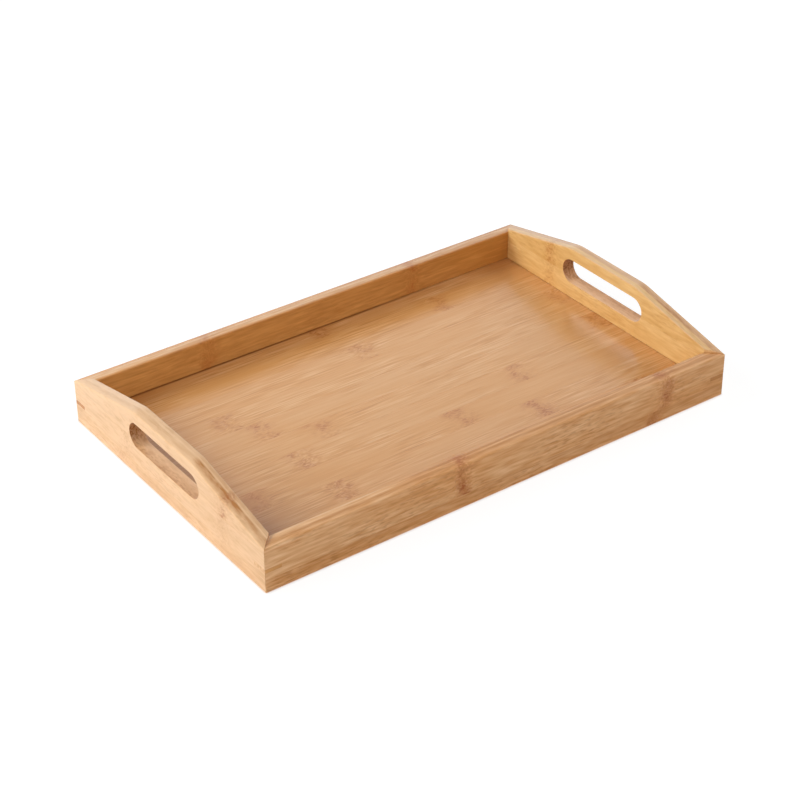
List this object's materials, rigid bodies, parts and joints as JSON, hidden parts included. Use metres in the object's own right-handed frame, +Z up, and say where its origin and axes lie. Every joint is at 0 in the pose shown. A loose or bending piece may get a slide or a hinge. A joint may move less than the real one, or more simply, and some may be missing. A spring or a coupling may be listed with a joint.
{
  "type": "serving tray",
  "caption": "Rectangular bamboo serving tray: slatted floor in low mitred walls, raised end boards cut with finger slots for carrying.",
  "frame": {"origin": "centre of the tray's footprint, on the surface it stands on", "axes": "+X along the tray from the left handle to the right handle, +Y from the front rail to the back rail, +Z up"},
  "size_m": [0.4, 0.252, 0.054],
  "materials": {
    "floor_bamboo": "clear satin lacquer over sanded bamboo",
    "rail_bamboo": "clear satin lacquer over sanded bamboo",
    "end_bamboo": "clear satin lacquer over sanded bamboo",
    "key_bamboo": "clear satin lacquer over sanded bamboo"
  },
  "bodies": {
    "root": {"floor_slat_01": "floor_bamboo", "floor_slat_02": "floor_bamboo", "floor_slat_03": "floor_bamboo", "floor_slat_04": "floor_bamboo", "floor_slat_05": "floor_bamboo", "floor_slat_06": "floor_bamboo", "floor_slat_07": "floor_bamboo", "floor_slat_08": "floor_bamboo", "floor_slat_09": "floor_bamboo", "floor_slat_10": "floor_bamboo", "floor_slat_11": "floor_bamboo", "front_rail_lower_slat": "rail_bamboo", "front_rail_upper_slat": "rail_bamboo", "back_rail_lower_slat": "rail_bamboo", "back_rail_upper_slat": "rail_bamboo", "left_end_lower_slat": "end_bamboo", "left_end_middle_slat": "end_bamboo", "left_end_upper_slat": "end_bamboo", "right_end_lower_slat": "end_bamboo", "right_end_middle_slat": "end_bamboo", "right_end_upper_slat": "end_bamboo", "corner_key_front_left": "key_bamboo", "corner_key_front_right": "key_bamboo", "corner_key_back_left": "key_bamboo", "corner_key_back_right": "key_bamboo"}
  },
  "joints": []
}
